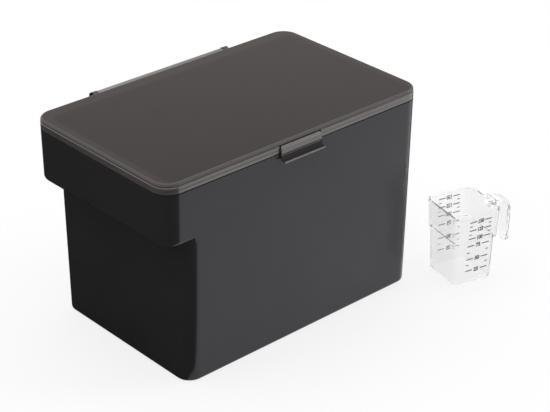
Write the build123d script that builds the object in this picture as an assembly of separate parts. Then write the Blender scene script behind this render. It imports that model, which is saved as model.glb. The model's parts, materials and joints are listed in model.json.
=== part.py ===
from build123d import *
import math
import os

os.makedirs("parts", exist_ok=True)

# Pet food storage box: a deep bin with an overhanging end, a hinged lid with a snap buckle,
# and the measuring cup that comes with it.
# Millimetres, +Z up. The origin is the centre of the bin's base. The buckle faces -Y,
# the lid hinge is at +Y and the overhang is at -X. Hinge and buckle are centred on the lid.

# Bin
foot_length = 290.0
bin_width = 190.0
bin_height = 198.0
overhang = 20.0
overhang_level = 147.0
wall = 2.5
floor_thickness = 3.0
draft_angle = 0.75
corner_radius = 17.5
base_edge_radius = 3.0
overhang_edge_radius = 5.0
inside_edge_chamfer = 2.0
rim_lead_in = 0.8

# Lid frame: a band flush with the bin, a flange under the panel and a plug that carries the gasket
lid_gap = 1.0
band_height = 6.5
band_wall = 2.4
band_groove_height = 0.6
band_groove_depth = 0.4
shoulder_width = 1.4
shoulder_chamfer = 0.7
seam_height = 1.0
flange_width = 11.0
flange_thickness = 2.0
plug_inset = 3.6
plug_wall = 2.0
plug_depth = 8.5
gusset_pitch = 42.0
gusset_thickness = 1.4
gusset_end_gap = 1.0

# Lid panel
panel_thickness = 3.0
panel_inset = 0.3
panel_edge_radius = 2.4
locating_rib_height = 1.5
locating_rib_wall = 1.2
locating_rib_end_gap = 24.0
locating_gap = 0.4

# Gasket
seal_gap = 0.35
gasket_height = 4.0
gasket_seat_depth = 0.8
gasket_above_plug_end = 1.5

# Hinge
hinge_length = 166.0
hinge_setback = 6.3
hinge_rise = 5.0
barrel_radius = 4.0
ear_radius = 4.5
ear_thickness = 6.0
ear_foot_drop = 21.0
ear_side_gap = 0.4
hinge_pin_radius = 1.5
pin_clearance = 0.05
ear_end_wall = 1.2

# Buckle
buckle_length = 49.0
buckle_side_gap = 0.6
buckle_proud = 2.1
buckle_pin_inset = 1.55
buckle_pin_drop = 3.8
buckle_pin_radius = 0.75
knuckle_radius = 1.9
buckle_wall_gap = 0.4
tab_face_drop = 4.8
lip_reach = 4.7
lip_drop = 5.6
lip_thickness = 1.6
pocket_depth = 5.4
pocket_roof = 0.8
block_margin = 3.5
block_back_wall = 2.2
block_skirt_depth = 4.0
snap_height = 1.7
snap_depth = 0.6
snap_drop = 2.7
snap_gap = 0.25
bead_gap = 0.6
buckle_corner_radius = 2.5

# Measuring cup
cup_height = 77.0
cup_wall = 1.5
cup_floor = 2.0
cup_foot_length = 43.5
cup_foot_width = 47.5
cup_lower_draft = 1.87
cup_upper_draft = 2.77
cup_step_level = 46.0
cup_step_all_round = 1.1
cup_step_handle_side = 2.4
cup_step_chamfer = 0.9
cup_corner_radius = 5.0
cup_base_radius = 2.5
cup_rim_roll = 1.0
cup_handle_reach = 26.0
cup_handle_width = 13.0
cup_handle_thickness = 3.6
cup_handle_length = 49.0
cup_handle_bend = 11.0
cup_handle_drop = 4.5
cup_handle_root = 6.5
cup_handle_root_margin = 1.5
cup_handle_end_radius = 5.0
cup_x = 190.8
cup_y = -116.9
cup_yaw = -13.2

# Levels and places that follow from the sizes above
draft_slope = math.tan(math.radians(draft_angle))
bin_length = foot_length + overhang
x_right = foot_length / 2
x_foot_left = -foot_length / 2
x_left = x_foot_left - overhang
x_middle = (x_left + x_right) / 2
y_back = bin_width / 2
y_front = -bin_width / 2
band_low = bin_height + lid_gap
shoulder_level = band_low + band_height
panel_low = shoulder_level + seam_height
panel_top = panel_low + panel_thickness
flange_low = panel_low - flange_thickness
plug_low = band_low - plug_depth
hinge_y = y_back + hinge_setback
hinge_z = bin_height + hinge_rise
buckle_pin_y = y_front + buckle_pin_inset
buckle_pin_z = shoulder_level - buckle_pin_drop


def plan(x0, x1, width, radius, z):
    """A rounded rectangle at height z, centred on y = 0."""
    return Pos((x0 + x1) / 2, 0, z) * RectangleRounded(x1 - x0, width, radius)


def lid_plan(inset, z):
    """The lid's outline at height z, moved inwards by an inset."""
    return plan(x_left + inset, x_right - inset, bin_width - 2 * inset, corner_radius - inset, z)


def drafted(x0, x1, width, radius, level, draft, z0, z1, inset):
    """A rounded block that widens upwards by a draft, with its given outline at one level, less an inset."""
    step = inset + (level - z1) * math.tan(math.radians(draft))
    top = plan(x0 + step, x1 - step, width - 2 * step, radius - step, z1)
    return extrude(top, amount=z0 - z1, taper=draft)


def bin_block(x0, z0, z1, inset):
    """A drafted block from x0 to the bin's right end, with the bin's full outline at the rim."""
    return drafted(x0, x_right, bin_width, corner_radius, bin_height, draft_angle, z0, z1, inset)


def plate(inset, z0, z1):
    """A plate that follows the lid's outline at an inset."""
    return extrude(lid_plan(inset, z0), amount=z1 - z0)


def ring(outer_inset, inner_inset, z0, z1):
    """A ring that follows the lid's outline between two insets and two levels."""
    return plate(outer_inset, z0, z1) - plate(inner_inset, z0, z1)


def block(x0, x1, y0, y1, z0, z1):
    """A plain block between two corners."""
    return Pos((x0 + x1) / 2, (y0 + y1) / 2, (z0 + z1) / 2) * Box(x1 - x0, y1 - y0, z1 - z0)


def rod(radius, length, y, z):
    """A round bar along X, centred on the lid."""
    return Pos(x_middle, y, z) * Rot(0, 90, 0) * Cylinder(radius, length)


def side_profile(face, x0, x1):
    """Extrude a face, drawn with y and z as its two directions, from x0 to x1."""
    return Pos(x0, 0, 0) * extrude(Plane.YZ * face, amount=x1 - x0)


def edges_at(shape, level):
    """The edges that lie in the horizontal plane at a level."""
    return shape.edges().filter_by_position(Axis.Z, level - 0.01, level + 0.01)


def make_bin_shell():
    """The open bin: a tapered box whose left end overhangs a shorter foot."""
    foot = bin_block(x_foot_left, 0, bin_height, 0)
    foot = fillet(edges_at(foot, 0), base_edge_radius)
    shelf = bin_block(x_left, overhang_level, bin_height, 0)
    shelf = fillet(edges_at(shelf, overhang_level), overhang_edge_radius)
    outside = foot + shelf
    above = bin_height + wall
    shelf_floor = overhang_level + wall
    foot_hollow = bin_block(x_foot_left, floor_thickness, above, wall)
    foot_hollow = chamfer(edges_at(foot_hollow, floor_thickness), inside_edge_chamfer)
    shelf_hollow = bin_block(x_left, shelf_floor, above, wall)
    shelf_hollow = chamfer(edges_at(shelf_hollow, shelf_floor), inside_edge_chamfer)
    lead_in = loft(
        [lid_plan(wall, bin_height - rim_lead_in), lid_plan(wall - rim_lead_in, bin_height)], ruled=True
    )
    return outside - (foot_hollow + shelf_hollow + lead_in)


def make_ear():
    """One hinge ear's outline: a round eye on a bracket that runs down the bin's back wall."""
    root_y = y_back - wall / 2
    shoulder_z = bin_height - rim_lead_in
    foot_z = bin_height - ear_foot_drop
    front = hinge_y - ear_radius
    rear = hinge_y + ear_radius
    outline = Polyline(
        (rear, hinge_z), (rear, shoulder_z), (root_y, foot_z), (root_y, shoulder_z),
        (front, shoulder_z), (front, hinge_z),
    )
    crown = ThreePointArc((front, hinge_z), (hinge_y, hinge_z + ear_radius), (rear, hinge_z))
    return make_face(outline + crown)


def make_body():
    body = make_bin_shell()
    ear_outline = make_ear()
    half = hinge_length / 2
    for x0 in (x_middle - half, x_middle + half - ear_thickness):
        body += side_profile(ear_outline, x0, x0 + ear_thickness)
    body -= rod(hinge_pin_radius + pin_clearance, hinge_length - 2 * ear_end_wall, hinge_y, hinge_z)
    low = bin_height - snap_drop
    high = low + snap_height
    root_y = y_front + snap_drop * draft_slope + wall / 2
    snap = Polyline(
        (root_y, high + snap_depth), (y_front - snap_depth, high), (y_front - snap_depth, low),
        (root_y, low - snap_depth / 2),
        close=True,
    )
    half_snap = buckle_length / 2 - block_margin
    return body + side_profile(make_face(snap), x_middle - half_snap, x_middle + half_snap)


def make_gussets():
    """Short webs that tie the flange to the plug, at an even pitch along each side."""
    outer = plug_inset + plug_wall / 2
    inner = flange_width - gusset_end_gap
    low = flange_low - (inner - outer)
    high = flange_low + flange_thickness / 2
    webs = []
    for along, length in ((0, bin_length), (1, bin_width)):
        count = int((length - 4 * corner_radius) // gusset_pitch) + 1
        for side in (-1, 1):
            for index in range(count):
                offset = (index - (count - 1) / 2) * gusset_pitch
                edge = side * (bin_width / 2 if along == 0 else bin_length / 2)
                web = Polyline(
                    (edge - side * outer, high), (edge - side * outer, low),
                    (edge - side * inner, flange_low), (edge - side * inner, high),
                    close=True,
                )
                if along == 0:
                    start = x_middle + offset - gusset_thickness / 2
                    webs.append(side_profile(make_face(web), start, start + gusset_thickness))
                else:
                    plate_face = Plane.XZ * make_face(web)
                    solid = extrude(plate_face, amount=gusset_thickness / 2, both=True)
                    webs.append(Pos(x_middle, offset, 0) * solid)
    return webs


def make_lid_frame():
    """The lid's moulded ring: band, flange, plug, hinge barrel and the buckle's pocket."""
    band = plate(0, band_low, shoulder_level)
    band = chamfer(edges_at(band, shoulder_level), shoulder_chamfer)
    band -= plate(band_wall, band_low, shoulder_level)
    groove_low = band_low + (band_height - band_groove_height) / 2
    band -= ring(-1, band_groove_depth, groove_low, groove_low + band_groove_height)
    frame = band + ring(shoulder_width, flange_width, flange_low, panel_low)
    frame += ring(plug_inset, plug_inset + plug_wall, plug_low, flange_low)
    seat_low = plug_low + gasket_above_plug_end
    frame -= ring(0, plug_inset + gasket_seat_depth, seat_low, seat_low + gasket_height) - plate(
        plug_inset + gasket_seat_depth, seat_low, seat_low + gasket_height
    )
    for web in make_gussets():
        frame += web
    barrel_half = hinge_length / 2 - ear_thickness - ear_side_gap
    barrel = Pos(hinge_y, hinge_z) * Circle(barrel_radius)
    web_low = band_low + shoulder_chamfer
    web = Polyline(
        (y_back - band_wall / 2, web_low), (hinge_y, hinge_z - barrel_radius),
        (hinge_y, hinge_z + barrel_radius), (y_back - band_wall / 2, shoulder_level),
        close=True,
    )
    frame += side_profile(barrel + make_face(web), x_middle - barrel_half, x_middle + barrel_half)
    frame -= rod(hinge_pin_radius + pin_clearance, hinge_length, hinge_y, hinge_z)
    half = buckle_length / 2 + buckle_side_gap
    left = x_middle - half
    right = x_middle + half
    pocket_y = y_front + pocket_depth
    block_y = pocket_y + block_back_wall
    frame += block(left - block_margin, right + block_margin, y_front + shoulder_width, block_y,
                   band_low, flange_low + flange_thickness / 2)
    frame += block(left, right, pocket_y, block_y, band_low - block_skirt_depth, band_low)
    frame -= block(left, right, y_front - buckle_proud, pocket_y, band_low, panel_low - pocket_roof)
    pin_reach = 2 * (half + block_margin)
    return frame - rod(buckle_pin_radius + pin_clearance, pin_reach, buckle_pin_y, buckle_pin_z)


def make_lid_panel():
    """The smoked top plate, rounded at its edge, with four ribs that drop inside the frame."""
    panel = plate(panel_inset, panel_low, panel_top)
    panel = fillet(edges_at(panel, panel_top), panel_edge_radius)
    outer = flange_width + locating_gap
    inner = outer + locating_rib_wall
    ends = outer + locating_rib_end_gap
    low = panel_low - locating_rib_height
    for side in (-1, 1):
        y0, y1 = sorted((side * (y_back - outer), side * (y_back - inner)))
        panel += block(x_left + ends, x_right - ends, y0, y1, low, panel_low)
    for x0 in (x_left + outer, x_right - inner):
        panel += block(x0, x0 + locating_rib_wall, y_front + ends, y_back - ends, low, panel_low)
    return panel


def make_gasket():
    """A soft ring in the plug's groove, pressed flat against the bin's inner wall."""
    low = plug_low + gasket_above_plug_end
    return ring(wall + seal_gap, plug_inset + gasket_seat_depth, low, low + gasket_height)


def make_hinge_pin():
    return rod(hinge_pin_radius, hinge_length - 2 * ear_end_wall - 2 * ear_side_gap, hinge_y, hinge_z)


def make_buckle():
    """The snap buckle: a lever that turns on its pin, with a finger lip at its free end."""
    face_y = y_front - buckle_proud
    face_radius = buckle_pin_y - face_y
    inner_y = y_front - buckle_wall_gap
    recess_y = y_front - snap_depth - buckle_wall_gap
    bead_y = y_front - snap_depth - snap_gap
    snap_low = bin_height - snap_drop
    snap_high = snap_low + snap_height + bead_gap
    face_low = buckle_pin_z - tab_face_drop
    lip_z = face_low - lip_drop
    lip_y = face_y - lip_reach
    bead_high = snap_low - bead_gap
    bead_low = bead_high - snap_height
    turn = math.sqrt(0.5)
    front = (
        ThreePointArc(
            (buckle_pin_y, buckle_pin_z + face_radius),
            (buckle_pin_y - turn * face_radius, buckle_pin_z + turn * face_radius),
            (face_y, buckle_pin_z),
        )
        + Line((face_y, buckle_pin_z), (face_y, face_low))
        + ThreePointArc(
            (face_y, face_low),
            (face_y - lip_reach * 0.12, face_low - lip_drop * 0.5),
            (lip_y + lip_thickness / 2, lip_z + lip_thickness / 2),
        )
        + ThreePointArc(
            (lip_y + lip_thickness / 2, lip_z + lip_thickness / 2),
            (lip_y, lip_z),
            (lip_y + lip_thickness / 2, lip_z - lip_thickness / 2),
        )
    )
    back = Polyline(
        (lip_y + lip_thickness / 2, lip_z - lip_thickness / 2),
        (bead_y - lip_thickness, bead_low - lip_thickness / 2),
        (bead_y, bead_low), (bead_y, bead_high), (recess_y, bead_high + snap_gap),
        (recess_y, snap_high), (inner_y, snap_high + buckle_wall_gap),
        (inner_y, buckle_pin_z - knuckle_radius / 2), (buckle_pin_y, buckle_pin_z - knuckle_radius),
    ) + ThreePointArc(
        (buckle_pin_y, buckle_pin_z - knuckle_radius),
        (buckle_pin_y + knuckle_radius, buckle_pin_z),
        (buckle_pin_y, buckle_pin_z + knuckle_radius),
    ) + Line((buckle_pin_y, buckle_pin_z + knuckle_radius), (buckle_pin_y, buckle_pin_z + face_radius))
    half = buckle_length / 2
    lever = side_profile(make_face(front + back), x_middle - half, x_middle + half)
    top = buckle_pin_z + face_radius
    bottom = lip_z - lip_thickness
    outline = RectangleRounded(buckle_length, top - bottom, buckle_corner_radius)
    outline = Pos(x_middle, (top + bottom) / 2) * outline
    lever &= extrude(Plane.XZ * outline, amount=bin_width, both=True)
    return lever - rod(buckle_pin_radius + pin_clearance, buckle_length, buckle_pin_y, buckle_pin_z)


def make_buckle_pin():
    half = buckle_length / 2 + buckle_side_gap
    return rod(buckle_pin_radius, 2 * half + block_margin, buckle_pin_y, buckle_pin_z)


def make_cup():
    """The clear cup: a square foot, a step, a wider mouth and an open hook of a handle."""
    foot_half = cup_foot_length / 2
    waist_growth = cup_step_level * math.tan(math.radians(cup_lower_draft))
    rim_growth = (cup_height - cup_step_level) * math.tan(math.radians(cup_upper_draft))
    step_left = -foot_half - waist_growth - cup_step_all_round
    step_right = foot_half + waist_growth + cup_step_handle_side
    step_width = cup_foot_width + 2 * (waist_growth + cup_step_all_round)
    step_radius = cup_corner_radius + cup_step_all_round

    def lower(z0, z1, inset):
        return drafted(-foot_half, foot_half, cup_foot_width, cup_corner_radius, 0, cup_lower_draft,
                       z0, z1, inset)

    def upper(z0, z1, inset):
        return drafted(step_left, step_right, step_width, step_radius, cup_step_level, cup_upper_draft,
                       z0, z1, inset)

    outer_low = lower(0, cup_step_level, 0)
    outer_low = fillet(edges_at(outer_low, 0), cup_base_radius)
    outer_high = upper(cup_step_level, cup_height, 0)
    outer_high = chamfer(edges_at(outer_high, cup_step_level), min(cup_step_chamfer, cup_step_all_round))
    inner_level = cup_step_level + cup_wall
    inner_low = lower(cup_floor, inner_level, cup_wall)
    inner_high = upper(inner_level, cup_height, cup_wall)
    rim = upper(cup_height - 2 * cup_rim_roll, cup_height, -cup_rim_roll / 2)
    handle = make_cup_handle(step_right + rim_growth)
    cup = outer_low + outer_high + handle + rim - (inner_low + inner_high)
    return Pos(cup_x, cup_y, 0) * Rot(0, 0, cup_yaw) * cup


def make_cup_handle(rim_right):
    """A flat strap that leaves the wall under the rim, bends down and ends open."""
    top = cup_height - cup_handle_drop
    start = rim_right - cup_wall
    reach = rim_right + cup_handle_reach - cup_handle_thickness / 2
    low = top - cup_handle_length
    bend = cup_handle_bend
    turn = math.sqrt(0.5)
    path = (
        Line((start, top), (reach - bend, top))
        + ThreePointArc((reach - bend, top), (reach - bend + turn * bend, top - bend + turn * bend),
                        (reach, top - bend))
        + Line((reach, top - bend), (reach, low))
    )
    strap = extrude(Plane.XZ * trace(path, line_width=cup_handle_thickness), amount=cup_handle_width / 2,
                    both=True)
    strap = fillet(edges_at(strap, low).filter_by(Axis.X), cup_handle_end_radius)
    root_half = cup_handle_width / 2 + cup_handle_root_margin
    root = block(start, rim_right + cup_handle_root, -root_half, root_half,
                 top - cup_handle_thickness / 2 - cup_handle_root_margin, cup_height - cup_rim_roll)
    return strap + root


parts = {
    "bin_body": make_body(),
    "lid_frame": make_lid_frame(),
    "lid_panel": make_lid_panel(),
    "lid_gasket": make_gasket(),
    "hinge_pin": make_hinge_pin(),
    "buckle": make_buckle(),
    "buckle_pin": make_buckle_pin(),
    "measuring_cup": make_cup(),
}

for name, solid in parts.items():
    export_step(solid, f"parts/{name}.step")
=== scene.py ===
import json
import math
from collections import namedtuple

import bmesh
import bpy
from bpy.props import FloatProperty, FloatVectorProperty, PointerProperty
from mathutils import Matrix, Vector
from mathutils.bvhtree import BVHTree

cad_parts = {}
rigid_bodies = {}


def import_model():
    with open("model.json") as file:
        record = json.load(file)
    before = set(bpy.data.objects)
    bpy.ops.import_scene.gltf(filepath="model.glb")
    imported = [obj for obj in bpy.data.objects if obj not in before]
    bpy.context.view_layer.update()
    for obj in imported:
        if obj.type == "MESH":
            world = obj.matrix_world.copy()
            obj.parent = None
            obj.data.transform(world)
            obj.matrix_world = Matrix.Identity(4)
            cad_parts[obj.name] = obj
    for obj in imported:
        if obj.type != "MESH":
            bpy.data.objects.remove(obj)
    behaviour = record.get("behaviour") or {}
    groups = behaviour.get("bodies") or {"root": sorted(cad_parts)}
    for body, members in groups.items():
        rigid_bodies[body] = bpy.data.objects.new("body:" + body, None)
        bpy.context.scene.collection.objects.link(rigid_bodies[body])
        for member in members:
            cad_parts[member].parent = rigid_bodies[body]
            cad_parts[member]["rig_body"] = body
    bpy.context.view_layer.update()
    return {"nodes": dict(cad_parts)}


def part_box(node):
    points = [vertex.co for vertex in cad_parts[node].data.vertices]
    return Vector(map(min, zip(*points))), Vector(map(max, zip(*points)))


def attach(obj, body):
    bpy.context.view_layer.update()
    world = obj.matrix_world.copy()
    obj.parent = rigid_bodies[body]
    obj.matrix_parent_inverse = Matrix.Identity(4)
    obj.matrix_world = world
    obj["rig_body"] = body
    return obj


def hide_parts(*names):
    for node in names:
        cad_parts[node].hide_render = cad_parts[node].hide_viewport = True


bl_info = {
    "name": "Pet Food Storage Box",
    "version": (1, 0, 0),
    "blender": (4, 5, 0),
    "location": "View3D > Sidebar > Storage Box",
    "description": "Dresses the storage box, its smoked lid and its clear measuring cup, and sets the stage",
    "category": "Object",
}

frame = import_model()

STEPS = ("bin", "lid", "cup", "stage")

# Places on the CAD model, in metres, as every length is that says nothing else. The ring's box takes in
# the hinge barrel at the back, so its half width is read at the front.
BIN_LOW, BIN_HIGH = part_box("bin_body")
LID_LOW, LID_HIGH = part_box("lid_frame")
PLATE_LOW, PLATE_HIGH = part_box("lid_panel")
BUCKLE_LOW, BUCKLE_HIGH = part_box("buckle")
LID_MIDDLE_X = (LID_LOW.x + LID_HIGH.x) / 2
LID_HALF_LENGTH = (LID_HIGH.x - LID_LOW.x) / 2
LID_HALF_WIDTH = -LID_LOW.y

# Sizes of the CAD model that a box doesn't give
PLUG_DEPTH = 0.0085  # how far the lid's plug hangs below its band
PARTING_GAP = 0.0010  # from the bin's rim up to the band
SEAM_HEIGHT = 0.0010  # from the ring's shoulder up to the plate
PLATE_CORNER = 0.017  # radius of the plate's corners, seen from above
FACE_DROP = 0.00845  # from the buckle's top to the lower end of its face
LIP_REACH = 0.0047  # how far the buckle's lip stands out from its face
LIP_DROP = 0.0048  # from the lower end of the face down to the lip
CUP_STEP = 0.046  # height of the step in the cup's walls

# What follows: the band's lower edge, the bin's rim, and the lower end and front of the buckle's face
BAND_LEVEL = LID_LOW.z + PLUG_DEPTH
RIM_LEVEL = BAND_LEVEL - PARTING_GAP
FACE_LOW = BUCKLE_HIGH.z - FACE_DROP
FACE_Y = BUCKLE_LOW.y + LIP_REACH

# Limits for choosing points, edges and faces
MERGE_DISTANCE = 1e-6  # points nearer to each other than this are one point
ON_LEVEL = 1e-5  # a point this near to a level lies on it
NEARBY = 1e-4  # a point this near to a place belongs to it
FLAT_ANGLE = math.radians(0.4)  # faces that turn by less than this are one face
SHARP_ANGLE = math.radians(32)  # an edge whose faces turn by more than this is sharp
WALL_RISE = 0.1  # a face whose normal rises or falls by less than this is a wall
FRONT_FACE = 0.1  # a face whose normal points forwards by more than this is a front one
END_FACE = 0.5  # a face whose normal points sideways by more than this is an end
OUTER_SHARE = 0.85  # an edge further from the lid's middle than this share is an outer one

# The printed scale: each number with its height on the wall, and the lines beside it
CUP_MARKS = ((25, 0.0143), (50, 0.0275), (75, 0.0426), (100, 0.0518), (125, 0.0611), (150, 0.0703))
LINE_START = 0.0046  # from the middle of the numbers to the inner end of a line
LINE_END = 0.0128  # and to its outer end
MINOR_LINE = 0.0036  # length of the lines between two numbers
MINOR_SHARE = 0.8  # their width, as a share of the other lines'
LINE_ROUNDING = 0.35  # rounding of a line's corners, as a share of its width
DIGIT_SHARE = 0.7  # height of a digit, as a share of the font's size
DIGIT_WEIGHT = 0.07  # how much a digit is thickened, as a share of its height
DIGIT_SQUEEZE = {2: 0.92, 3: 0.78}  # width of a number of so many digits, as a share of the font's
RAY_START = 0.1  # how far from the cup's middle the rays start that find its walls

# The value that a noise pattern varies about
NOISE_MIDDLE = 0.5

# Sun lamps: name, direction that the light comes from, spread in degrees, and whether gloss shows it
LAMPS = (
    ("key", (0.85, -0.50, 0.30), 25.0, True),
    ("top", (0.10, 0.15, 1.00), 70.0, True),
    ("fill", (-0.60, 0.45, 0.60), 50.0, False),
)

# Black cards just over the floor, which show only in gloss and put painted shade into the reflections in the
# bin's walls: each a fan of rays, turned by degrees, from a hub near a corner of the bin
CARD_LEVEL = 0.0006
CARD_REACH = 4.0
CARD_BLACK = (0.01, 0.01, 0.01, 1)
LEFT_CARD_TURNS = (-24, 10, 50, 90, 130, 155, 168)
LEFT_CARD_INSET = 0.022
LEFT_CARD_TAIL = ((0.115, 0.17), (0.085, 0.0))
CORNER_CARD_TURNS = (6, 20, 35, 50)
CORNER_CARD_INSET = (0.004, 0.014)

# Half the side of the square floor
FLOOR_HALF = 20.0

# The camera, fitted to the photograph, whose width is in pixels. The sensor's width is in millimetres.
PHOTO_WIDTH = 550
SENSOR_WIDTH = 36.0
TARGET = Vector((0.046558, 0.0, 0.078281))
CLIP_NEAR = 0.05
CLIP_FAR = 60.0


def colour(name, description, default):
    """A colour property."""
    return FloatVectorProperty(name=name, description=description, default=default, size=3,
                               min=0.0, max=1.0, subtype="COLOR")


def factor(name, description, default):
    """A property between nought and one."""
    return FloatProperty(name=name, description=description, default=default, min=0.0, max=1.0,
                         subtype="FACTOR")


def length(name, description, default):
    """A length property."""
    return FloatProperty(name=name, description=description, default=default, min=0.0,
                         subtype="DISTANCE", unit="LENGTH")


def angle(name, description, degrees):
    """An angle property, with its default given in degrees."""
    return FloatProperty(name=name, description=description, default=math.radians(degrees),
                         subtype="ANGLE", unit="ROTATION")


def strength(name, description, default):
    """The strength of a lamp."""
    return FloatProperty(name=name, description=description, default=default, min=0.0)


class BinFinish(bpy.types.PropertyGroup):
    """Finish of the black bin"""

    base: colour("Base", "Colour of the black moulded plastic", (0.0200, 0.0190, 0.0188))
    faded: colour("Faded", "Colour of the paler clouds in the black plastic", (0.0250, 0.0238, 0.0236))
    sheen_tint: colour("Sheen tint", "Tint of the light that the satin surface gives back",
                       (0.84, 0.84, 1.0))
    roughness: factor("Roughness", "Roughness of the satin surface", 0.20)
    grain: length("Grain", "Size of the fine mould grain", 0.0006)
    edge: length("Edge", "How far the moulded edges are broken", 0.0003)
    relief: length("Relief", "Extra break of the rim beside the lid", 0.0001)
    wire: colour("Wire", "Colour of the drawn wire of the pins", (0.58, 0.58, 0.59))


class LidFinish(bpy.types.PropertyGroup):
    """Finish of the smoked lid, its gasket and the buckle"""

    base: colour("Base", "Colour of the smoked plastic of the ring and buckle", (0.058, 0.052, 0.049))
    panel: colour("Panel", "Colour of the smoked top plate", (0.0140, 0.0080, 0.0065))
    panel_tint: colour("Panel tint", "Tint of the light that the plate gives back", (1.0, 0.93, 0.9))
    border: colour("Border", "Colour of the plate where the ring's flange shows through",
                   (0.028, 0.020, 0.017))
    border_width: length("Border width", "Width of the flange that shows through the plate", 0.010)
    border_shift: length("Border shift", "How far the flange seems moved, seen through the plate", 0.007)
    # Painted highlight: the rolled edge's paler colour stands in for light on the plate's rounded edge.
    rolled: colour("Rolled edge", "Colour of the plate's rolled edge, which light gets into",
                   (0.092, 0.085, 0.083))
    rolled_width: length("Rolled width", "Width of the plate's rolled edge", 0.0024)
    seam_width: length("Seam width", "Height of the dark seam under the rolled edge", 0.0009)
    roughness: factor("Roughness", "Roughness of the smoked plastic", 0.25)
    edge: length("Edge", "How far the moulded edges are broken", 0.0002)
    relief: length("Relief", "Extra break of the band's lower edge", 0.0006)
    # Painted shade: this dark colour stands in for the shade in the seam and the finger scoop.
    matt: colour("Matt", "Colour of the matt plastic in the seam and the finger scoop",
                 (0.016, 0.014, 0.014))
    scoop_rise: length("Scoop rise", "How far the finger scoop reaches up the buckle's face", 0.0014)
    scoop_depth: length("Scoop depth", "How deep the finger scoop goes into the buckle", 0.0008)
    rubber: colour("Rubber", "Colour of the silicone gasket", (0.42, 0.42, 0.41))
    rubber_pale: colour("Pale rubber", "Colour of the paler clouds in the gasket", (0.5, 0.5, 0.49))


class CupFinish(bpy.types.PropertyGroup):
    """Finish of the clear cup, and its printed scale"""

    tint: colour("Tint", "Tint of the clear plastic", (0.985, 0.985, 0.99))
    # Painted shade: the darker tint seen edgeways stands in for the clear plastic's dark edges.
    edge_tint: colour("Edge tint", "Tint of the clear plastic where it is seen edgeways",
                      (0.74, 0.75, 0.76))
    clearness: factor("Clearness", "Share of the light that goes through the clear plastic", 0.90)
    ink: colour("Ink", "Colour of the printed scale", (0.012, 0.012, 0.013))
    thin_ink: colour("Thin ink", "Colour of the print where its ink is thin", (0.05, 0.05, 0.052))
    yaw: angle("Yaw", "Turn of the cup on the floor", -13.2)
    middle: FloatVectorProperty(name="Middle", description="Middle of the cup's foot", size=2,
                                default=(0.1908, -0.1169), subtype="XYZ_LENGTH", unit="LENGTH")
    ink_thickness: length("Ink thickness", "How far the print stands off the wall", 0.00006)
    digit_height: length("Digit height", "Height of the printed digits", 0.0042)
    line_width: length("Line width", "Width of the printed lines", 0.0011)
    scale_offset: length("Scale offset", "How far the scale stands towards the handle", 0.0023)


class StageLook(bpy.types.PropertyGroup):
    """The floor, the light and the camera's place"""

    floor: colour("Floor", "Colour of the floor", (0.92, 0.92, 0.92))
    glow: factor("Glow", "Share of the floor's white that the lamps don't give", 0.78)
    key: strength("Key", "Strength of the key light", 1.1)
    top: strength("Top", "Strength of the overhead light", 1.7)
    fill: strength("Fill", "Strength of the fill light", 0.6)
    room: factor("Room", "Strength of the light that comes evenly from all round", 0.35)
    focal: FloatProperty(name="Focal", description="Focal length in photograph pixels", default=1733.31)
    azimuth: angle("Azimuth", "Direction of the camera round the box", -42.405)
    elevation: angle("Elevation", "Height of the camera above the horizon", 28.481)
    roll: angle("Roll", "Turn of the camera about its view", 0.395)
    distance: length("Distance", "Distance from the camera to its target", 1.6932)


def opaque(shade):
    """A colour property's value as a colour for a node."""
    return (*shade, 1.0)


def paler(shade, times):
    """A colour made paler by a number of times."""
    return [channel * times for channel in shade]


# Shader nodes


def put(tree, kind, **values):
    """Adds a node and sets its plain attributes."""
    node = tree.nodes.new(kind)
    for key, value in values.items():
        setattr(node, key, value)
    return node


def supply(tree, socket, value):
    """Links an output to a socket, or sets the socket to a plain value."""
    if isinstance(value, bpy.types.NodeSocket):
        tree.links.new(value, socket)
    else:
        socket.default_value = value


def feed(tree, node, **inputs):
    """Supplies a node's inputs by name, with underscores for spaces."""
    for key, value in inputs.items():
        supply(tree, node.inputs[key.replace("_", " ")], value)
    return node


def math_node(tree, operation, *values, clamp=False):
    """The result of a sum on numbers."""
    node = put(tree, "ShaderNodeMath", operation=operation, use_clamp=clamp)
    for socket, value in zip(node.inputs, values):
        supply(tree, socket, value)
    return node.outputs["Value"]


def vector_node(tree, operation, *values):
    """The result of a sum on vectors."""
    node = put(tree, "ShaderNodeVectorMath", operation=operation)
    for socket, value in zip(node.inputs, values):
        supply(tree, socket, value)
    return node.outputs["Vector"]


def mix_colour(tree, amount, first, second):
    """A colour between two colours. The node has like-named sockets for each kind, so these go by number."""
    node = put(tree, "ShaderNodeMix", data_type="RGBA")
    for index, value in ((0, amount), (6, first), (7, second)):
        supply(tree, node.inputs[index], value)
    return node.outputs[2]


def noise(tree, place, scale, detail, **others):
    """The strength of a noise pattern."""
    node = put(tree, "ShaderNodeTexNoise")
    feed(tree, node, Vector=place, Scale=scale, Detail=detail, **others)
    return node.outputs["Fac"]


# Shared shader groups


def group_socket(group, name, way, kind, default=None):
    """Adds a socket to a group's interface."""
    socket = group.interface.new_socket(name=name, in_out=way, socket_type=kind)
    if default is not None:
        socket.default_value = default


def start_group(name, inputs, outputs):
    """A new group with its sockets, and its input's outputs and output's inputs."""
    group = bpy.data.node_groups.new(name, "ShaderNodeTree")
    for socket in inputs:
        group_socket(group, socket[0], "INPUT", *socket[1:])
    for socket in outputs:
        group_socket(group, socket[0], "OUTPUT", *socket[1:])
    return group, put(group, "NodeGroupInput").outputs, put(group, "NodeGroupOutput").inputs


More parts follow.
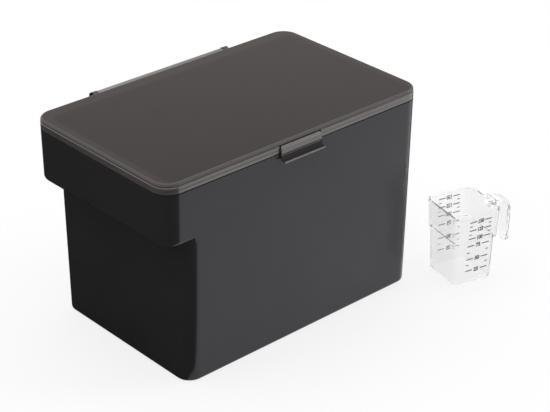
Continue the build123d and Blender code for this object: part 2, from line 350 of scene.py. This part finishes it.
def make_moulded_group():
    """Moulded plastic: cloudy gloss, fine mould grain and a slight drift of colour."""
    group, given, made = start_group(
        "Moulded Plastic",
        (
            ("Vector", "NodeSocketVector"),
            ("Base", "NodeSocketColor", (0.02, 0.02, 0.02, 1)),
            ("Worn", "NodeSocketColor", (0.04, 0.04, 0.04, 1)),
            ("Grain Scale", "NodeSocketFloat", 1500.0),
            ("Cloud Scale", "NodeSocketFloat", 14.0),
            ("Roughness", "NodeSocketFloat", 0.3),
            ("Spread", "NodeSocketFloat", 0.06),
        ),
        (
            ("Color", "NodeSocketColor"),
            ("Roughness", "NodeSocketFloat"),
            ("Height", "NodeSocketFloat"),
        ),
    )
    worn_contrast, worn_share, grain_roughness = 1.6, 0.18, 0.05
    grain = noise(group, given["Vector"], given["Grain Scale"], detail=2.0, Roughness=0.6)
    cloud = noise(group, given["Vector"], given["Cloud Scale"], detail=3.0, Roughness=0.5)
    drift = math_node(group, "SUBTRACT", cloud, NOISE_MIDDLE)
    worn = math_node(group, "MULTIPLY_ADD", drift, worn_contrast, worn_share, clamp=True)
    rough = math_node(group, "MULTIPLY_ADD", drift, given["Spread"], given["Roughness"])
    fine = math_node(group, "SUBTRACT", grain, NOISE_MIDDLE)
    supply(group, made["Color"], mix_colour(group, worn, given["Base"], given["Worn"]))
    supply(group, made["Roughness"], math_node(group, "MULTIPLY_ADD", fine, grain_roughness, rough))
    supply(group, made["Height"], grain)
    return group


def make_scuff_group():
    """Hairline scuffs from handling: thin stretched streaks in two directions."""
    group, given, made = start_group(
        "Hairline Scuffs",
        (
            ("Vector", "NodeSocketVector"),
            ("Scale", "NodeSocketFloat", 40.0),
            ("Amount", "NodeSocketFloat", 0.3),
        ),
        (("Mask", "NodeSocketFloat"),),
    )
    rare = 0.69
    streaks = (((0.3, 0.2, 0.5), (1.0, 22.0, 22.0)), ((0.1, -0.4, -0.7), (22.0, 1.0, 22.0)))
    masks = []
    for turn, stretch in streaks:
        mapping = put(group, "ShaderNodeMapping")
        feed(group, mapping, Vector=given["Vector"], Rotation=turn, Scale=stretch)
        streak = noise(group, mapping.outputs["Vector"], given["Scale"], detail=1.0)
        masks.append(math_node(group, "GREATER_THAN", streak, rare))
    both = math_node(group, "MAXIMUM", *masks)
    supply(group, made["Mask"], math_node(group, "MULTIPLY", both, given["Amount"]))
    return group


def make_border_group():
    """A soft band that follows the inside of a rounded rectangle drawn in X and Y."""
    group, given, made = start_group(
        "Rounded Border",
        (
            ("Vector", "NodeSocketVector"),
            ("Centre", "NodeSocketVector"),
            ("Half Size", "NodeSocketVector"),
            ("Corner", "NodeSocketFloat", 0.01),
            ("Width", "NodeSocketFloat", 0.01),
            ("Softness", "NodeSocketFloat", 0.002),
        ),
        (("Mask", "NodeSocketFloat"),),
    )
    offset = vector_node(group, "SUBTRACT", given["Vector"], given["Centre"])
    away = vector_node(group, "ABSOLUTE", offset)
    beyond = vector_node(group, "SUBTRACT", away, given["Half Size"])
    parts = feed(group, put(group, "ShaderNodeSeparateXYZ"), Vector=beyond)
    x = math_node(group, "ADD", parts.outputs["X"], given["Corner"])
    y = math_node(group, "ADD", parts.outputs["Y"], given["Corner"])
    x_out = math_node(group, "MAXIMUM", x, 0.0)
    y_out = math_node(group, "MAXIMUM", y, 0.0)
    x_square = math_node(group, "MULTIPLY", x_out, x_out)
    y_square = math_node(group, "MULTIPLY", y_out, y_out)
    reach = math_node(group, "SQRT", math_node(group, "ADD", x_square, y_square))
    inside = math_node(group, "MINIMUM", math_node(group, "MAXIMUM", x, y), 0.0)
    edge = math_node(group, "SUBTRACT", math_node(group, "ADD", reach, inside), given["Corner"])
    depth = math_node(group, "ADD", edge, given["Width"])
    supply(group, made["Mask"], math_node(group, "DIVIDE", depth, given["Softness"], clamp=True))
    return group


GROUP_MAKERS = {
    "Moulded Plastic": make_moulded_group,
    "Hairline Scuffs": make_scuff_group,
    "Rounded Border": make_border_group,
}


def group_node(tree, name, **inputs):
    """Places a shared group, made on first use, with its own values."""
    node = put(tree, "ShaderNodeGroup")
    node.node_tree = bpy.data.node_groups.get(name) or GROUP_MAKERS[name]()
    return feed(tree, node, **inputs)


# Materials

Finish = namedtuple("Finish", "material tree shader place")


def empty_material(name):
    """A material with only its output, its tree and the output's surface socket."""
    material = bpy.data.materials.new(name)
    material.use_nodes = True
    tree = material.node_tree
    tree.nodes.clear()
    return material, tree, put(tree, "ShaderNodeOutputMaterial").inputs["Surface"]


def principled_finish(name):
    """A material with a Principled shader, and the object's own coordinates."""
    material, tree, surface = empty_material(name)
    shader = put(tree, "ShaderNodeBsdfPrincipled")
    tree.links.new(shader.outputs["BSDF"], surface)
    place = put(tree, "ShaderNodeTexCoord")
    return Finish(material, tree, shader, place.outputs["Object"])


def plastic_finish(name, base, worn, roughness, grain, bump, specular, scuffs, tint=(1.0, 1.0, 1.0)):
    """Moulded plastic with its grain as bump and hairline scuffs in its gloss."""
    depth_share = 0.2
    finish = principled_finish(name)
    tree, shader = finish.tree, finish.shader
    moulded = group_node(tree, "Moulded Plastic", Vector=finish.place, Base=opaque(base),
                         Worn=opaque(worn), Grain_Scale=1.0 / grain, Roughness=roughness)
    scuff = group_node(tree, "Hairline Scuffs", Vector=finish.place, Amount=scuffs)
    rough = math_node(tree, "ADD", moulded.outputs["Roughness"], scuff.outputs["Mask"], clamp=True)
    relief = put(tree, "ShaderNodeBump")
    feed(tree, relief, Strength=bump, Distance=grain * depth_share, Height=moulded.outputs["Height"])
    feed(tree, shader, Base_Color=moulded.outputs["Color"], Roughness=rough,
         Normal=relief.outputs["Normal"])
    shader.inputs["Specular IOR Level"].default_value = specular
    shader.inputs["Specular Tint"].default_value = opaque(tint)
    return finish


def wire_finish(look):
    """Drawn wire, brushed along its length."""
    least_roughness, roughness_range = 0.2, 0.2
    finish = principled_finish("Drawn Wire")
    tree, shader = finish.tree, finish.shader
    along = feed(tree, put(tree, "ShaderNodeMapping"), Vector=finish.place, Scale=(0.02, 1.0, 1.0))
    brushed = noise(tree, along.outputs["Vector"], scale=900.0, detail=2.0)
    rough = math_node(tree, "MULTIPLY_ADD", brushed, roughness_range, least_roughness)
    feed(tree, shader, Roughness=rough)
    shader.inputs["Base Color"].default_value = opaque(look.wire)
    shader.inputs["Metallic"].default_value = 1.0
    return finish


def plate_finish(look):
    """The smoked plate, with the flange that shows through it, and its rolled edge painted paler as a
    highlight.
    """
    rolled_softness, border_softness, seam_softness = 0.0008, 0.003, 0.0003
    finish = plastic_finish("Smoke Plate", look.panel, paler(look.panel, 1.3), look.roughness,
                            grain=0.0006, bump=0.12, specular=0.15, scuffs=0.01, tint=look.panel_tint)
    tree, place = finish.tree, finish.place
    plain = finish.shader.inputs["Base Color"].links[0].from_socket
    middle = (PLATE_LOW + PLATE_HIGH) / 2
    half = (PLATE_HIGH - PLATE_LOW) / 2
    border = group_node(tree, "Rounded Border", Vector=place, Half_Size=half, Corner=PLATE_CORNER,
                        Centre=middle - Vector((0, look.border_shift, 0)), Width=look.border_width,
                        Softness=border_softness)
    rolled = group_node(tree, "Rounded Border", Vector=place, Half_Size=half, Corner=PLATE_CORNER,
                        Centre=middle, Width=look.rolled_width, Softness=rolled_softness)
    bordered = mix_colour(tree, border.outputs["Mask"], plain, opaque(look.border))
    # The painted highlight on the rolled edge, kept off the seam under it
    parts = feed(tree, put(tree, "ShaderNodeSeparateXYZ"), Vector=place)
    above = math_node(tree, "SUBTRACT", parts.outputs["Z"], PLATE_LOW.z + look.seam_width)
    clear_of_seam = math_node(tree, "DIVIDE", above, seam_softness, clamp=True)
    rim = math_node(tree, "MULTIPLY", clear_of_seam, rolled.outputs["Mask"])
    feed(tree, finish.shader, Base_Color=mix_colour(tree, rim, bordered, opaque(look.rolled)))
    return finish


def clear_finish(look):
    """Clear plastic with a faint haze in its gloss, and a darker tint where it is seen edgeways, which is
    painted shade.
    """
    least_roughness, haze_roughness, edge_falloff = 0.005, 0.03, 4.0
    finish = principled_finish("Clear Plastic")
    tree, shader = finish.tree, finish.shader
    haze = noise(tree, finish.place, scale=120.0, detail=3.0)
    edgeways = feed(tree, put(tree, "ShaderNodeLayerWeight"), Blend=0.5)
    # Painted shade where the clear plastic is seen edgeways
    painted_edge_shade = math_node(tree, "POWER", edgeways.outputs["Facing"], edge_falloff)
    feed(tree, shader, Roughness=math_node(tree, "MULTIPLY_ADD", haze, haze_roughness, least_roughness),
         Base_Color=mix_colour(tree, painted_edge_shade, opaque(look.tint), opaque(look.edge_tint)))
    shader.inputs["Transmission Weight"].default_value = look.clearness
    shader.inputs["IOR"].default_value = 1.15
    return finish


def ink_finish(look):
    """Printed ink, thinner in places."""
    finish = principled_finish("Scale Ink")
    moulded = group_node(finish.tree, "Moulded Plastic", Vector=finish.place, Base=opaque(look.ink),
                         Worn=opaque(look.thin_ink), Grain_Scale=2500.0, Cloud_Scale=300.0,
                         Roughness=0.5)
    feed(finish.tree, finish.shader, Base_Color=moulded.outputs["Color"],
         Roughness=moulded.outputs["Roughness"])
    return finish


# Pieces


def linked(name, data):
    """A new object, linked to the scene."""
    piece = bpy.data.objects.new(name, data)
    bpy.context.scene.collection.objects.link(piece)
    return piece


def finished_mesh(name, shape):
    """A mesh made from a bmesh, which is freed."""
    mesh = bpy.data.meshes.new(name)
    shape.to_mesh(mesh)
    shape.free()
    return mesh


def piece_from(name, mesh, body, slot, *finishes):
    """Links a finished mesh as a piece that rides on a body."""
    piece = linked(name, mesh)
    for finish in finishes:
        mesh.materials.append(finish.material)
    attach(piece, body)
    return piece


def dress(node, finish):
    """Gives a CAD node a material in each of its slots."""
    materials = frame["nodes"][node].data.materials
    if not materials:
        materials.append(finish.material)
    for index in range(len(materials)):
        materials[index] = finish.material


def relieve(shape, level, width):
    """Cuts a narrow relief along the outer edges that lie at a level, beside the parting line."""
    edges = []
    for edge in shape.edges:
        if any(abs(vert.co.z - level) > ON_LEVEL for vert in edge.verts):
            continue
        middle = (edge.verts[0].co + edge.verts[1].co) / 2
        outwards = Vector((middle.x - LID_MIDDLE_X, middle.y, 0))
        share = max(abs(outwards.x) / LID_HALF_LENGTH, abs(outwards.y) / LID_HALF_WIDTH)
        walls = [face for face in edge.link_faces if abs(face.normal.z) < WALL_RISE]
        if share > OUTER_SHARE and any(face.normal.dot(outwards) > 0 for face in walls):
            edges.append(edge)
    bmesh.ops.bevel(shape, geom=edges, offset=width, offset_type="OFFSET", segments=1, profile=0.5,
                    affect="EDGES", clamp_overlap=True, material=-1)


def darken_seam(shape):
    """Gives the faces inside the seam between ring and plate the second material, whose dark colour is
    painted shade.
    """
    shoulder = PLATE_LOW.z - SEAM_HEIGHT
    for face in shape.faces:
        middle = face.calc_center_median()
        in_seam = shoulder - NEARBY < middle.z < PLATE_LOW.z - ON_LEVEL
        if in_seam and abs(middle.y) < LID_HALF_WIDTH:
            face.material_index = 1


def hollow_scoop(shape, rise, depth):
    """Hollows the finger scoop under the buckle's face and gives its faces the second material, whose dark
    colour is painted shade.
    """
    top = FACE_LOW + rise
    bottom = FACE_LOW - LIP_DROP
    for level in (top, (top + FACE_LOW) / 2):
        bmesh.ops.bisect_plane(shape, geom=[*shape.verts, *shape.edges, *shape.faces],
                               dist=MERGE_DISTANCE, plane_co=(0, 0, level), plane_no=(0, 0, 1))
    for vert in shape.verts:
        if vert.co.y < FACE_Y + NEARBY and bottom < vert.co.z < top:
            height = vert.co.z - FACE_LOW
            away = height / rise if height > 0 else height / LIP_DROP
            vert.co.y += depth * (1 - away * away)
    shape.normal_update()
    for face in shape.faces:
        middle = face.calc_center_median()
        in_front = middle.y < FACE_Y + depth and face.normal.y < -FRONT_FACE
        if in_front and abs(face.normal.x) < END_FACE and bottom < middle.z < top:
            face.material_index = 1


def split_wide_faces(shape):
    """Splits faces of more than four corners, such as the rings round an opening, into triangles."""
    wide = [face for face in shape.faces if len(face.verts) > 4]
    bmesh.ops.triangulate(shape, faces=wide, quad_method="BEAUTY", ngon_method="EAR_CLIP")


def soft_edged(node, name, slot, width, finishes, shaping):
    """Stands a merged and shaped copy in for a CAD node, with its edges broken as on a moulding."""
    source = frame["nodes"][node]
    mesh = source.data.copy()
    mesh.name = name
    mesh.materials.clear()
    shape = bmesh.new()
    shape.from_mesh(mesh)
    bmesh.ops.remove_doubles(shape, verts=shape.verts, dist=MERGE_DISTANCE)
    bmesh.ops.dissolve_limit(shape, angle_limit=FLAT_ANGLE, verts=shape.verts, edges=shape.edges)
    split_wide_faces(shape)
    shaping(shape)
    split_wide_faces(shape)
    shape.to_mesh(mesh)
    shape.free()
    if "custom_normal" in mesh.attributes:
        mesh.attributes.remove(mesh.attributes["custom_normal"])
    mesh.shade_smooth()
    mesh.set_sharp_from_angle(angle=SHARP_ANGLE)
    piece = piece_from(name, mesh, source["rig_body"], slot, *finishes)
    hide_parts(node)
    edge = piece.modifiers.new("broken edges", "BEVEL")
    edge.width = width
    edge.segments = 2
    edge.limit_method = "ANGLE"
    edge.angle_limit = SHARP_ANGLE
    edge.harden_normals = True
    edge.miter_outer = "MITER_ARC"


class STORAGEBOX_OT_bin(bpy.types.Operator):
    """Finish the black bin and the wire pins"""

    bl_idname = "storagebox.bin"
    bl_label = "Finish Bin"

    def execute(self, context):
        look = context.scene.bin_finish
        black = plastic_finish("Black Plastic", look.base, look.faded, look.roughness, look.grain,
                               bump=0.15, specular=0.42, scuffs=0.01, tint=look.sheen_tint)
        soft_edged("bin_body", "bin_shell", "black_plastic", look.edge, [black],
                   lambda shape: relieve(shape, RIM_LEVEL, look.relief))
        wire = wire_finish(look)
        dress("hinge_pin", wire)
        dress("buckle_pin", wire)
        return {"FINISHED"}


class STORAGEBOX_OT_lid(bpy.types.Operator):
    """Finish the lid's ring, its smoked plate, its gasket and the buckle"""

    bl_idname = "storagebox.lid"
    bl_label = "Finish Lid"

    def execute(self, context):
        look = context.scene.lid_finish
        smoke = plastic_finish("Smoke Plastic", look.base, paler(look.base, 1.5), look.roughness,
                               grain=0.0005, bump=0.08, specular=0.8, scuffs=0.01)
        smoke.shader.inputs["Coat Weight"].default_value = 0.6
        # The second material of ring and buckle, whose dark colour is painted shade in the seam and the
        # finger scoop
        matt = plastic_finish("Matt Smoke Plastic", look.matt, paler(look.matt, 1.5), roughness=0.5,
                              grain=0.0004, bump=0.3, specular=0.1, scuffs=0.0)
        rubber = plastic_finish("Silicone", look.rubber, look.rubber_pale, roughness=0.55,
                                grain=0.0008, bump=0.1, specular=0.4, scuffs=0.0)

        def shape_ring(shape):
            relieve(shape, BAND_LEVEL, look.relief)
            darken_seam(shape)

        soft_edged("lid_frame", "lid_ring", "smoke_plastic", look.edge, [smoke, matt], shape_ring)
        soft_edged("buckle", "buckle_lever", "smoke_plastic", look.edge, [smoke, matt],
                   lambda shape: hollow_scoop(shape, look.scoop_rise, look.scoop_depth))
        dress("lid_panel", plate_finish(look))
        dress("lid_gasket", rubber)
        return {"FINISHED"}


# The cup's printed scale


def add_digits(shape, text, height, place):
    """Adds printed digits to a bmesh, centred on a place whose X runs along the line and Y up the wall."""
    curve = bpy.data.curves.new("digits", "FONT")
    curve.body = text
    curve.align_x = "CENTER"
    curve.size = height / DIGIT_SHARE
    curve.offset = height * DIGIT_WEIGHT
    holder = linked("digits", curve)
    bpy.context.view_layer.update()
    mesh = bpy.data.meshes.new_from_object(holder)
    narrow = Matrix.Diagonal((DIGIT_SQUEEZE[len(text)], 1, 1, 1))
    mesh.transform(place @ narrow @ Matrix.Translation((0, -height / 2, 0)))
    shape.from_mesh(mesh)
    bpy.data.objects.remove(holder)
    bpy.data.curves.remove(curve)
    bpy.data.meshes.remove(mesh)


def add_line(shape, start, end, width, place):
    """Adds one printed line with rounded ends to a bmesh."""
    made = bmesh.ops.create_grid(shape, x_segments=1, y_segments=1, size=0.5)
    across = Matrix.Diagonal((end - start, width, 1, 1))
    middle = Matrix.Translation(((start + end) / 2, 0, 0))
    bmesh.ops.transform(shape, verts=made["verts"], matrix=place @ middle @ across)
    bmesh.ops.bevel(shape, geom=made["verts"], offset=width * LINE_ROUNDING, offset_type="OFFSET",
                    segments=2, profile=0.5, affect="VERTICES", material=-1)


def add_line_pair(shape, start, end, width, place):
    """Adds the same line on both sides of the digits."""
    add_line(shape, -end, -start, width, place)
    add_line(shape, start, end, width, place)


def print_scale(cup, side, look):
    """A scale on the wall that faces a side of the cup, laid where rays from outside meet it."""
    turn = Matrix.Rotation(look.yaw, 4, "Z")
    outward = turn @ Vector((0, side, 0))
    along = turn @ Vector((-side, 0, 0))
    column = Vector((*look.middle, 0)) + turn @ Vector((look.scale_offset, 0, 0))
    shape = bmesh.new()

    def wall(height):
        """The place on the wall at a height: X along the line, Y up the wall, Z out of it."""
        start = column + outward * RAY_START + Vector((0, 0, height))
        spot, normal = cup.ray_cast(start, -outward)[:2]
        if spot is None:
            raise RuntimeError("no wall behind the scale")
        rise = normal.cross(along).normalized()
        place = Matrix((along, rise, normal)).transposed().to_4x4()
        place.translation = spot + normal * look.ink_thickness
        return place

    before = None
    for value, height in CUP_MARKS:
        same_wall = before is not None and not before < CUP_STEP < height
        if same_wall:
            add_line_pair(shape, LINE_END - MINOR_LINE, LINE_END, look.line_width * MINOR_SHARE,
                          wall((before + height) / 2))
        place = wall(height)
        add_line_pair(shape, LINE_START, LINE_END, look.line_width, place)
        add_digits(shape, str(value), look.digit_height, place)
        before = height
    return shape


class STORAGEBOX_OT_cup(bpy.types.Operator):
    """Finish the clear measuring cup and print its scale on two walls"""

    bl_idname = "storagebox.cup"
    bl_label = "Finish Cup"

    def execute(self, context):
        look = context.scene.cup_finish
        dress("measuring_cup", clear_finish(look))
        ink = ink_finish(look)
        cup = BVHTree.FromObject(frame["nodes"]["measuring_cup"], context.evaluated_depsgraph_get())
        for name, side in (("cup_scale_near", -1), ("cup_scale_far", 1)):
            mesh = finished_mesh(name, print_scale(cup, side, look))
            piece_from(name, mesh, "cup", "black_plastic", ink)
        return {"FINISHED"}


# The stage


def seen_rays(tree):
    """One for rays that show the white backdrop: from the camera, in gloss and through clear plastic."""
    path = put(tree, "ShaderNodeLightPath").outputs
    seen = math_node(tree, "ADD", path["Is Camera Ray"], path["Is Glossy Ray"])
    return math_node(tree, "ADD", seen, path["Is Transmission Ray"], clamp=True)


def make_floor(look):
    """A pale floor that shows white and keeps the object's shadow."""
    shape = bmesh.new()
    bmesh.ops.create_grid(shape, x_segments=1, y_segments=1, size=FLOOR_HALF)
    floor = linked("floor", finished_mesh("floor", shape))
    material, tree, surface = empty_material("Floor")
    paint = put(tree, "ShaderNodeBsdfDiffuse")
    glow = put(tree, "ShaderNodeEmission")
    both = put(tree, "ShaderNodeAddShader")
    seen = seen_rays(tree)
    share = math_node(tree, "MULTIPLY_ADD", seen, -look.glow, 1.0)
    feed(tree, paint, Color=mix_colour(tree, share, (0, 0, 0, 1), opaque(look.floor)))
    feed(tree, glow, Strength=math_node(tree, "MULTIPLY", seen, look.glow))
    tree.links.new(paint.outputs["BSDF"], both.inputs[0])
    tree.links.new(glow.outputs["Emission"], both.inputs[1])
    tree.links.new(both.outputs["Shader"], surface)
    floor.data.materials.append(material)


def make_lamps(look):
    """Three soft sun lamps."""
    for name, back, spread, in_gloss in LAMPS:
        data = bpy.data.lights.new(name, "SUN")
        data.energy = getattr(look, name)
        data.angle = math.radians(spread)
        lamp = linked(name, data)
        lamp.visible_glossy = in_gloss
        lamp.rotation_euler = Vector(back).to_track_quat("Z", "Y").to_euler()


def card_material():
    """The black paint of both cards, which puts painted shade into the reflections in the bin's walls."""
    material, tree, surface = empty_material("Black Card")
    paint = put(tree, "ShaderNodeBsdfDiffuse")
    paint.inputs["Color"].default_value = CARD_BLACK
    tree.links.new(paint.outputs["BSDF"], surface)
    return material


def make_card(name, material, hub, rays, tail=()):
    """A card over the floor, a fan of rays from its hub, which shows only as its reflection in gloss: a
    painted dark reflection.
    """
    shape = bmesh.new()
    corners = [hub, *(hub + CARD_REACH * ray for ray in rays), *tail]
    shape.faces.new([shape.verts.new(corner) for corner in corners])
    card = linked(name, finished_mesh(name, shape))
    card.data.materials.append(material)
    card.visible_camera = False
    card.visible_diffuse = False
    card.visible_transmission = False
    card.visible_shadow = False


def make_left_card(material):
    """The card beside the left wall, with its turns counted from the front towards the left."""
    hub = Vector((BIN_LOW.x + LEFT_CARD_INSET, BIN_LOW.y, CARD_LEVEL))
    turns = [math.radians(step) for step in LEFT_CARD_TURNS]
    rays = [Vector((-math.sin(turn), -math.cos(turn), 0)) for turn in turns]
    tail = [Vector((hub.x + x, BIN_HIGH.y + y, hub.z)) for x, y in LEFT_CARD_TAIL]
    make_card("floor_card", material, hub, rays, tail)


def make_corner_card(material):
    """The card at the right-hand front corner, with its turns counted from the right towards the back."""
    inset_x, inset_y = CORNER_CARD_INSET
    hub = Vector((BIN_HIGH.x - inset_x, BIN_LOW.y + inset_y, CARD_LEVEL))
    turns = [math.radians(step) for step in CORNER_CARD_TURNS]
    rays = [Vector((math.cos(turn), math.sin(turn), 0)) for turn in turns]
    make_card("corner_card", material, hub, rays)


def make_world(look):
    """Even light from all round, and a white backdrop for the rays that show one."""
    world = bpy.data.worlds.new("studio")
    bpy.context.scene.world = world
    world.use_nodes = True
    tree = world.node_tree
    tree.nodes.clear()
    output = put(tree, "ShaderNodeOutputWorld")
    sky = put(tree, "ShaderNodeBackground")
    sky.inputs["Color"].default_value = (1, 1, 1, 1)
    feed(tree, sky, Strength=math_node(tree, "MULTIPLY_ADD", seen_rays(tree), 1.0 - look.room, look.room))
    tree.links.new(sky.outputs["Background"], output.inputs["Surface"])


def make_camera(look):
    """The camera at the photograph's viewing angle."""
    data = bpy.data.cameras.new("camera")
    data.sensor_fit = "HORIZONTAL"
    data.sensor_width = SENSOR_WIDTH
    data.lens = look.focal / PHOTO_WIDTH * SENSOR_WIDTH
    data.clip_start = CLIP_NEAR
    data.clip_end = CLIP_FAR
    level = math.cos(look.elevation)
    back = Vector((math.sin(look.azimuth) * level, -math.cos(look.azimuth) * level,
                   math.sin(look.elevation)))
    side = Vector((0, 0, 1)).cross(back).normalized()
    up = back.cross(side)
    right = math.cos(look.roll) * side + math.sin(look.roll) * up
    rise = -math.sin(look.roll) * side + math.cos(look.roll) * up
    place = Matrix((right, rise, back)).transposed().to_4x4()
    place.translation = TARGET + back * look.distance
    camera = linked("camera", data)
    camera.matrix_world = place
    bpy.context.scene.camera = camera


class STORAGEBOX_OT_stage(bpy.types.Operator):
    """Set the floor, the lamps, the cards, the world and the camera"""

    bl_idname = "storagebox.stage"
    bl_label = "Set Stage"

    def execute(self, context):
        look = context.scene.stage_look
        make_floor(look)
        make_lamps(look)
        black = card_material()
        make_left_card(black)
        make_corner_card(black)
        make_world(look)
        make_camera(look)
        context.scene.view_settings.view_transform = "Standard"
        return {"FINISHED"}


class STORAGEBOX_PT_panel(bpy.types.Panel):
    """Lists the steps that dress the storage box"""

    bl_label = "Storage Box"
    bl_idname = "STORAGEBOX_PT_panel"
    bl_space_type = "VIEW_3D"
    bl_region_type = "UI"
    bl_category = "Storage Box"

    def draw(self, context):
        for step in STEPS:
            self.layout.operator("storagebox." + step)


SETTINGS = {
    "bin_finish": BinFinish,
    "lid_finish": LidFinish,
    "cup_finish": CupFinish,
    "stage_look": StageLook,
}

CLASSES = (
    *SETTINGS.values(),
    STORAGEBOX_OT_bin,
    STORAGEBOX_OT_lid,
    STORAGEBOX_OT_cup,
    STORAGEBOX_OT_stage,
    STORAGEBOX_PT_panel,
)


def register():
    """Registers the classes and hangs the settings on the scene."""
    for cls in CLASSES:
        bpy.utils.register_class(cls)
    for name, group in SETTINGS.items():
        setattr(bpy.types.Scene, name, PointerProperty(type=group))


def unregister():
    """Takes the settings and the classes away again."""
    for name in SETTINGS:
        delattr(bpy.types.Scene, name)
    for cls in reversed(CLASSES):
        bpy.utils.unregister_class(cls)


def main():
    """Dresses the object step by step."""
    register()
    for step in STEPS:
        getattr(bpy.ops.storagebox, step)()


if __name__ == "__main__":
    main()
